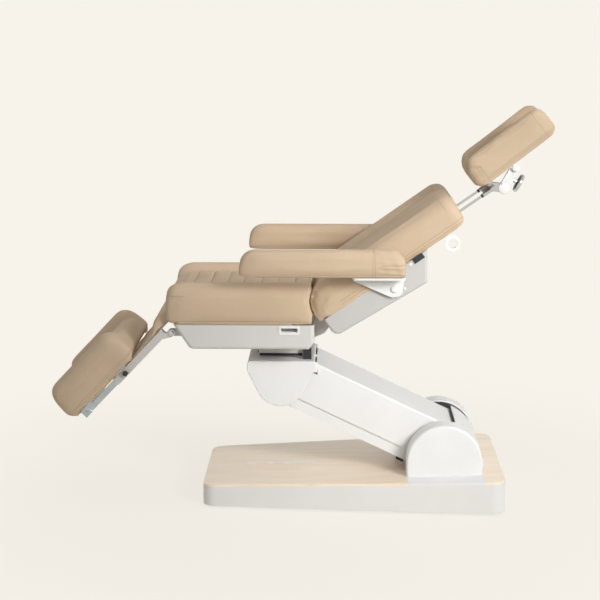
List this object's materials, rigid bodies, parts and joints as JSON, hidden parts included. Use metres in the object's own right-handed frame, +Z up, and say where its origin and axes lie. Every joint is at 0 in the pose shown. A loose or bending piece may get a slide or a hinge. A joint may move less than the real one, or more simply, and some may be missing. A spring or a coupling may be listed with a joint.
{
  "type": "gynecological chair",
  "caption": "Upholstered examination chair on a parallelogram lift: tilting seat, reclining back, headrest on rods, folding armrests and a telescoping leg rest.",
  "frame": {"origin": "middle of the overall box, on the floor under the feet", "axes": "+X from the foot end to the head end, +Y to the sitter's right, +Z up"},
  "size_m": [1.8448, 0.7802, 1.4627],
  "materials": {
    "grey_sheet": "satin grey powder coat",
    "white_sheet": "satin white powder coat",
    "white_plastic": "smooth white moulding",
    "pale_plastic": "pale grey moulding",
    "tube_paint": "warm light grey powder coat",
    "deck_wood": "pale maple, clear satin lacquer",
    "frame_steel": "grey painted steel",
    "bright_steel": "zinc-plated",
    "chrome": "polished",
    "board": "raw plywood",
    "upholstery": "beige synthetic leather over foam",
    "flap_leather": "tan synthetic leather",
    "black_plastic": "fine-grained black",
    "motor_case": "dark grey motor housing",
    "rubber": "black"
  },
  "bodies": {
    "base": {"base_skirt": "grey_sheet", "deck_front": "deck_wood", "deck_rear": "deck_wood", "pedestal_plate": "white_sheet", "deck_inlay": "white_plastic", "base_frame": "frame_steel", "levelling_feet": "rubber", "control_box": "motor_case", "pedestal_bracket": "frame_steel", "lower_pins": "bright_steel", "cheek_right": "white_plastic", "cheek_left": "white_plastic", "rear_hood": "white_sheet"},
    "upper_arm": {"upper_link": "frame_steel", "upper_cover": "white_sheet"},
    "lower_arm": {"lower_link": "frame_steel", "lower_cover": "white_sheet"},
    "lift_motor": {"lift_actuator_body": "motor_case"},
    "lift_rod": {"lift_actuator_rod": "bright_steel"},
    "carriage": {"carriage_bracket": "frame_steel", "upper_pin": "bright_steel", "stub_pins": "bright_steel", "carriage_cover": "white_sheet", "tilt_blocks": "black_plastic", "tilt_pins": "bright_steel", "tilt_actuator_body": "motor_case"},
    "tilt_rod": {"tilt_actuator_rod": "bright_steel"},
    "seat": {"seat_frame": "bright_steel", "seat_tray": "pale_plastic", "socket_right": "white_plastic", "socket_left": "white_plastic", "seat_board": "board", "seat_cushion": "upholstery", "knee_flap": "flap_leather", "back_actuator_body": "motor_case", "leg_pins": "chrome"},
    "back_rod": {"back_actuator_rod": "bright_steel"},
    "back": {"back_frame": "bright_steel", "back_shell": "pale_plastic", "back_board": "board", "rod_sleeves": "black_plastic", "back_cushion": "upholstery", "roll_lugs": "white_plastic"},
    "armrest_right": {"armrest_bracket_right": "white_sheet", "armrest_pad_right": "upholstery"},
    "armrest_left": {"armrest_bracket_left": "white_sheet", "armrest_pad_left": "upholstery"},
    "head_slide": {"head_rods": "chrome", "head_pin_lower": "bright_steel"},
    "head_link": {"head_link": "white_plastic"},
    "head_knob": {"head_knob": "black_plastic"},
    "headrest": {"head_plate": "bright_steel", "head_pin_upper": "bright_steel", "head_cushion": "upholstery"},
    "leg": {"leg_tubes": "tube_paint"},
    "leg_knob_right": {"leg_knob_right": "black_plastic"},
    "leg_knob_left": {"leg_knob_left": "black_plastic"},
    "leg_extension": {"leg_slides": "bright_steel", "leg_board": "board", "leg_cushion": "upholstery"}
  },
  "joints": [
    {"name": "lift", "type": "hinge", "parent": "base", "child": "upper_arm", "pos_m": [0.53078, 0, 0.205], "axis": [0, 1, 0], "range_deg": [-17, 25]},
    {"name": "lower_link", "type": "hinge", "parent": "base", "child": "lower_arm", "pos_m": [0.48078, 0, 0.15], "axis": [0, 1, 0], "range_deg": [-17, 25]},
    {"name": "carriage_level", "type": "hinge", "parent": "upper_arm", "child": "carriage", "pos_m": [-0.07215, 0, 0.49258], "axis": [0, 1, 0], "range_deg": [-25, 17]},
    {"name": "lift_motor", "type": "hinge", "parent": "base", "child": "lift_motor", "pos_m": [0.48078, 0, 0.15], "axis": [0, 1, 0], "range_deg": [-18, 26]},
    {"name": "lift_rod", "type": "slide", "parent": "lift_motor", "child": "lift_rod", "axis": [-0.8199, 0, 0.5726], "range_m": [-0.03, 0.04]},
    {"name": "tilt", "type": "hinge", "parent": "carriage", "child": "seat", "pos_m": [0.02278, 0, 0.556], "axis": [0, 1, 0], "range_deg": [0, 12]},
    {"name": "tilt_rod", "type": "slide", "parent": "carriage", "child": "tilt_rod", "axis": [0, 0, 1], "range_m": [0, 0.04]},
    {"name": "back", "type": "hinge", "parent": "seat", "child": "back", "pos_m": [0.12507, 0, 0.77472], "axis": [0, -1, 0], "range_deg": [-35, 40]},
    {"name": "back_rod", "type": "slide", "parent": "seat", "child": "back_rod", "axis": [1, 0, 0], "range_m": [-0.05, 0.05]},
    {"name": "armrest_right", "type": "hinge", "parent": "back", "child": "armrest_right", "pos_m": [0.33798, 0, 0.82981], "axis": [0, 1, 0], "range_deg": [-35, 75]},
    {"name": "armrest_left", "type": "hinge", "parent": "back", "child": "armrest_left", "pos_m": [0.33798, 0, 0.82981], "axis": [0, 1, 0], "range_deg": [-35, 75]},
    {"name": "head_slide", "type": "slide", "parent": "back", "child": "head_slide", "axis": [0.8192, 0, 0.5736], "range_m": [-0.08, 0.06]},
    {"name": "head_lower", "type": "hinge", "parent": "head_slide", "child": "head_link", "pos_m": [0.74878, 0, 1.16018], "axis": [0, 1, 0], "range_deg": [0, 40]},
    {"name": "head_upper", "type": "hinge", "parent": "head_link", "child": "headrest", "pos_m": [0.79078, 0, 1.23618], "axis": [0, 1, 0], "range_deg": [-2, 30]},
    {"name": "head_knob", "type": "hinge", "parent": "head_link", "child": "head_knob", "pos_m": [0.76978, 0, 1.19818], "axis": [0.8752, 0, -0.4837], "range_deg": [-180, 180]},
    {"name": "leg", "type": "hinge", "parent": "seat", "child": "leg", "pos_m": [-0.47022, 0, 0.655], "axis": [0, -1, 0], "range_deg": [-46.5, 30], "deforming": ["knee_flap"]},
    {"name": "leg_slide", "type": "slide", "parent": "leg", "child": "leg_extension", "axis": [-0.6884, 0, -0.7254], "range_m": [-0.08, 0.06]},
    {"name": "leg_knob_right", "type": "hinge", "parent": "leg", "child": "leg_knob_right", "pos_m": [-0.64099, 0.25, 0.50411], "axis": [0, 1, 0], "range_deg": [-180, 180]},
    {"name": "leg_knob_left", "type": "hinge", "parent": "leg", "child": "leg_knob_left", "pos_m": [-0.64099, -0.25, 0.50411], "axis": [0, 1, 0], "range_deg": [-180, 180]}
  ],
  "couplings": [
    {"joint": "lower_link", "follows": "lift", "ratio": 1},
    {"joint": "carriage_level", "follows": "lift", "ratio": -1},
    {"joint": "lift_motor", "follows": "lift", "ratio": 1.01},
    {"joint": "lift_rod", "follows": "lift", "m_per_rad": 0.0725},
    {"joint": "tilt_rod", "follows": "tilt", "m_per_rad": 0.162},
    {"joint": "back_rod", "follows": "back", "m_per_rad": 0.065}
  ]
}
